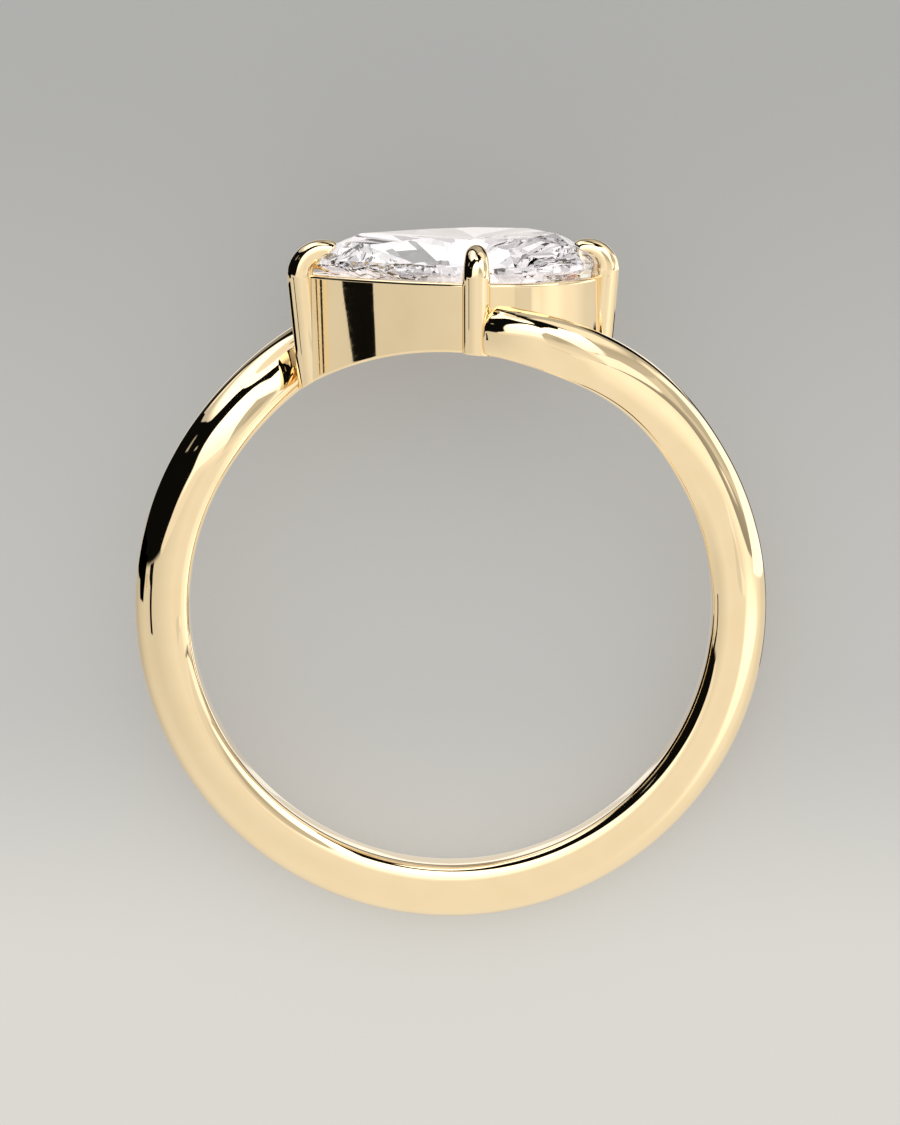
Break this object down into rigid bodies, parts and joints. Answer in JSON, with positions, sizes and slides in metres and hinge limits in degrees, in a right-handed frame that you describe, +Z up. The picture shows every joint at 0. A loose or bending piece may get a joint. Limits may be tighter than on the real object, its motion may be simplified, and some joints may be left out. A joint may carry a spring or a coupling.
{
  "type": "pear cut ring",
  "caption": "Polished yellow gold bypass ring holding a pear cut clear stone lengthwise across the finger in a straight sided cup with round claw prongs.",
  "frame": {"origin": "middle of the box's underside, on the surface that the ring rests on", "axes": "+X across the finger hole from the stone's point to its round end; +Y from the foot of the band to the stone; +Z up, within 10 degrees of the finger hole's axis, towards the ring's front face"},
  "size_m": [0.02, 0.0218, 0.0079],
  "materials": {
    "gold": "polished yellow gold",
    "stone": "faceted colourless gemstone, clear and polished"
  },
  "bodies": {
    "root": {"gold_ring": "gold", "pear_stone": "stone"}
  },
  "joints": []
}
